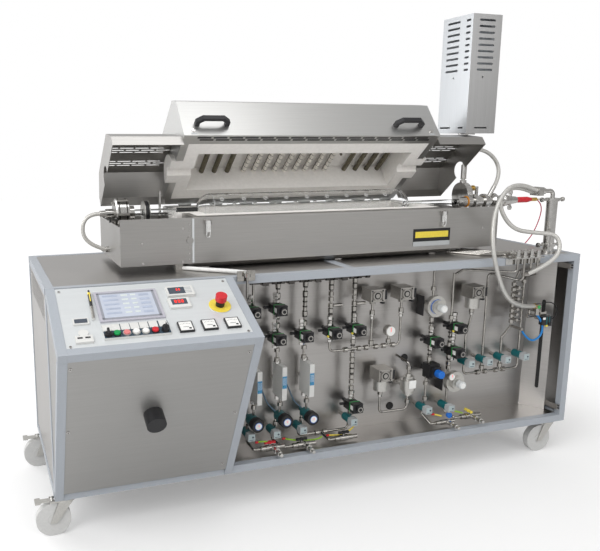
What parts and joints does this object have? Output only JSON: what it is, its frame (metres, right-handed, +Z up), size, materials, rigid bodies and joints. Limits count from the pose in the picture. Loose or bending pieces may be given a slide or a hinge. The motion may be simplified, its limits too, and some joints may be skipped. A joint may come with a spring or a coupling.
{
  "type": "rotary tube furnace",
  "caption": "Mobile rotary tube furnace with an opened hinged lid over a quartz tube, a sloping control console, an open gas panel bay and a slotted exhaust tower",
  "frame": {"origin": "on the floor under the middle of the whole object without its hoses", "axes": "X runs along the long side from the console end to the filter end, Y goes from the operator side to the back, Z is up"},
  "size_m": [2.504, 1.0592, 1.955],
  "materials": {
    "frame_paint": "satin",
    "panel_steel": "brushed",
    "case_steel": "brushed",
    "fibre": "matt fibre",
    "heater_ceramic": "matt ceramic",
    "fitting_steel": "polished",
    "quartz": "clear",
    "pulley_metal": "turned",
    "black_plastic": "matt",
    "sensor_housing": "satin",
    "teal_plastic": "satin",
    "screen_bezel": "satin",
    "instrument_plastic": "satin",
    "clear_plastic": "clear",
    "blue_plastic": "gloss",
    "red_plastic": "gloss",
    "green_plastic": "gloss",
    "white_plastic": "gloss",
    "yellow_plastic": "gloss",
    "braid": "braided",
    "white_hose": "satin",
    "blue_tube": "gloss",
    "red_cable": "matt",
    "fork_steel": "satin",
    "wheel_nylon": "satin"
  },
  "bodies": {
    "base": {"base_frame": "frame_paint", "body_panels": "panel_steel", "bay_panels": "panel_steel", "console_panels": "panel_steel", "furnace_shell": "case_steel", "torch_tower": "case_steel", "lower_insulation": "fibre", "tube_fittings": "fitting_steel", "gas_lines": "fitting_steel", "filter_column": "fitting_steel", "drive_unit": "pulley_metal", "solenoid_valves": "black_plastic", "gas_sensors": "sensor_housing", "regulator_bodies": "sensor_housing", "diaphragm_valves": "teal_plastic", "touch_panel": "screen_bezel", "instruments": "instrument_plastic", "hose_a": "braid", "hose_b": "braid", "tower_hose": "braid", "purge_hose": "braid", "supply_hose": "white_hose", "blue_hose": "blue_tube", "sensor_cable": "red_cable"},
    "lid": {"lid_shell": "case_steel", "lid_insulation": "fibre", "lid_heaters": "heater_ceramic", "lid_handles": "black_plastic", "lid_end_covers": "case_steel"},
    "tube": {"quartz_tube": "quartz", "tube_pulley": "pulley_metal"},
    "drive_pulley": {"motor_pulley": "pulley_metal"},
    "front_left_fork": {"front_left_caster_fork": "fork_steel"},
    "front_left_wheel": {"front_left_caster_wheel": "wheel_nylon"},
    "back_left_fork": {"back_left_caster_fork": "fork_steel"},
    "back_left_wheel": {"back_left_caster_wheel": "wheel_nylon"},
    "front_right_fork": {"front_right_caster_fork": "fork_steel"},
    "front_right_wheel": {"front_right_caster_wheel": "wheel_nylon"},
    "back_right_fork": {"back_right_caster_fork": "fork_steel"},
    "back_right_wheel": {"back_right_caster_wheel": "wheel_nylon"},
    "front_left_pedal": {"front_left_brake_pedal": "fork_steel"},
    "back_left_pedal": {"back_left_brake_pedal": "fork_steel"},
    "green_button_cap": {"green_button": "green_plastic"},
    "white_button_cap": {"white_button": "white_plastic"},
    "red_button_cap": {"red_button": "red_plastic"},
    "stop_head": {"emergency_stop": "red_plastic"},
    "selector": {"selector_lever": "black_plastic"},
    "key": {"key_switch": "black_plastic"},
    "left_latch": {"left_latch_lever": "fitting_steel"},
    "right_latch": {"right_latch_lever": "fitting_steel"},
    "left_regulator": {"left_regulator_knob": "black_plastic"},
    "middle_regulator": {"middle_regulator_knob": "black_plastic"},
    "right_regulator": {"right_regulator_knob": "black_plastic"},
    "upper_dome": {"upper_dome_knob": "clear_plastic"},
    "lower_dome": {"lower_dome_knob": "clear_plastic"},
    "blue_regulator": {"blue_knob": "blue_plastic"},
    "red_valve": {"red_valve_lever": "red_plastic"},
    "left_black_valve": {"left_black_valve_lever": "black_plastic"},
    "right_black_valve": {"right_black_valve_lever": "black_plastic"},
    "yellow_valve": {"yellow_valve_lever": "yellow_plastic"}
  },
  "joints": [
    {"name": "lid_hinge", "type": "hinge", "parent": "base", "child": "lid", "pos_m": [-0.035, 0.42242, 1.118], "axis": [1, 0, 0], "range_deg": [0, 40]},
    {"name": "tube_rotation", "type": "hinge", "parent": "base", "child": "tube", "pos_m": [-0.035, 0.18042, 1.127], "axis": [1, 0, 0], "continuous": true},
    {"name": "motor_rotation", "type": "hinge", "parent": "base", "child": "drive_pulley", "pos_m": [-0.745, 0.18042, 1.01], "axis": [1, 0, 0], "continuous": true},
    {"name": "front_left_swivel", "type": "hinge", "parent": "base", "child": "front_left_fork", "pos_m": [-1.14, -0.15958, 0.135], "axis": [0, 0, 1], "continuous": true},
    {"name": "front_left_roll", "type": "hinge", "parent": "front_left_fork", "child": "front_left_wheel", "pos_m": [-1.188, -0.15958, 0.0625], "axis": [0, 1, 0], "continuous": true},
    {"name": "back_left_swivel", "type": "hinge", "parent": "base", "child": "back_left_fork", "pos_m": [-1.14, 0.42842, 0.135], "axis": [0, 0, 1], "continuous": true},
    {"name": "back_left_roll", "type": "hinge", "parent": "back_left_fork", "child": "back_left_wheel", "pos_m": [-1.188, 0.42842, 0.0625], "axis": [0, 1, 0], "continuous": true},
    {"name": "front_right_swivel", "type": "hinge", "parent": "base", "child": "front_right_fork", "pos_m": [1.05, -0.15958, 0.135], "axis": [0, 0, 1], "continuous": true},
    {"name": "front_right_roll", "type": "hinge", "parent": "front_right_fork", "child": "front_right_wheel", "pos_m": [1.002, -0.15958, 0.0625], "axis": [0, 1, 0], "continuous": true},
    {"name": "back_right_swivel", "type": "hinge", "parent": "base", "child": "back_right_fork", "pos_m": [1.05, 0.42842, 0.135], "axis": [0, 0, 1], "continuous": true},
    {"name": "back_right_roll", "type": "hinge", "parent": "back_right_fork", "child": "back_right_wheel", "pos_m": [1.002, 0.42842, 0.0625], "axis": [0, 1, 0], "continuous": true},
    {"name": "front_left_brake", "type": "hinge", "parent": "front_left_fork", "child": "front_left_pedal", "pos_m": [-1.19, -0.15958, 0.1325], "axis": [0, -1, 0], "range_deg": [0, 8]},
    {"name": "back_left_brake", "type": "hinge", "parent": "back_left_fork", "child": "back_left_pedal", "pos_m": [-1.19, 0.42842, 0.1325], "axis": [0, -1, 0], "range_deg": [0, 8]},
    {"name": "green_button_press", "type": "slide", "parent": "base", "child": "green_button_cap", "axis": [0, 0.4165, -0.9092], "range_m": [0, 0.003], "stiffness_N_per_m": 400},
    {"name": "white_button_press", "type": "slide", "parent": "base", "child": "white_button_cap", "axis": [0, 0.4165, -0.9092], "range_m": [0, 0.003], "stiffness_N_per_m": 400},
    {"name": "red_button_press", "type": "slide", "parent": "base", "child": "red_button_cap", "axis": [0, 0.4165, -0.9092], "range_m": [0, 0.003], "stiffness_N_per_m": 400},
    {"name": "emergency_stop_press", "type": "slide", "parent": "base", "child": "stop_head", "axis": [0, 0.4165, -0.9092], "range_m": [0, 0.004]},
    {"name": "selector_turn", "type": "hinge", "parent": "base", "child": "selector", "pos_m": [-1.021, -0.47103, 0.82082], "axis": [0, -0.4165, 0.9092], "range_deg": [-45, 45]},
    {"name": "key_turn", "type": "hinge", "parent": "base", "child": "key", "pos_m": [-0.839, -0.47103, 0.82082], "axis": [0, -0.4165, 0.9092], "range_deg": [0, 90]},
    {"name": "left_latch_lift", "type": "hinge", "parent": "base", "child": "left_latch", "pos_m": [-0.56, -0.05858, 1.108], "axis": [-1, 0, 0], "range_deg": [0, 80]},
    {"name": "right_latch_lift", "type": "hinge", "parent": "base", "child": "right_latch", "pos_m": [0.497, -0.05858, 1.108], "axis": [-1, 0, 0], "range_deg": [0, 80]},
    {"name": "left_regulator_turn", "type": "hinge", "parent": "base", "child": "left_regulator", "pos_m": [-0.391, -0.15958, 0.309], "axis": [0, 1, 0], "range_deg": [-150, 150]},
    {"name": "middle_regulator_turn", "type": "hinge", "parent": "base", "child": "middle_regulator", "pos_m": [-0.268, -0.15958, 0.31], "axis": [0, 1, 0], "range_deg": [-150, 150]},
    {"name": "right_regulator_turn", "type": "hinge", "parent": "base", "child": "right_regulator", "pos_m": [-0.152, -0.15958, 0.307], "axis": [0, 1, 0], "range_deg": [-150, 150]},
    {"name": "upper_dome_turn", "type": "hinge", "parent": "base", "child": "upper_dome", "pos_m": [0.437, -0.15958, 0.718], "axis": [0, 1, 0], "range_deg": [-150, 150]},
    {"name": "lower_dome_turn", "type": "hinge", "parent": "base", "child": "lower_dome", "pos_m": [0.557, -0.15958, 0.369], "axis": [0, 1, 0], "range_deg": [-150, 150]},
    {"name": "blue_regulator_turn", "type": "hinge", "parent": "base", "child": "blue_regulator", "pos_m": [0.439, -0.15958, 0.432], "axis": [0, 1, 0], "range_deg": [-150, 150]},
    {"name": "red_valve_turn", "type": "hinge", "parent": "base", "child": "red_valve", "pos_m": [-0.337, -0.15958, 0.227], "axis": [0, 0, 1], "range_deg": [0, 90]},
    {"name": "left_black_valve_turn", "type": "hinge", "parent": "base", "child": "left_black_valve", "pos_m": [-0.198, -0.15958, 0.221], "axis": [0, 0, 1], "range_deg": [0, 90]},
    {"name": "right_black_valve_turn", "type": "hinge", "parent": "base", "child": "right_black_valve", "pos_m": [-0.007, -0.15958, 0.223], "axis": [0, 0, 1], "range_deg": [0, 90]},
    {"name": "yellow_valve_turn", "type": "hinge", "parent": "base", "child": "yellow_valve", "pos_m": [0.611, -0.15958, 0.237], "axis": [0, 0, 1], "range_deg": [-90, 0]}
  ],
  "couplings": [
    {"joint": "motor_rotation", "follows": "tube_rotation", "ratio": 2}
  ]
}
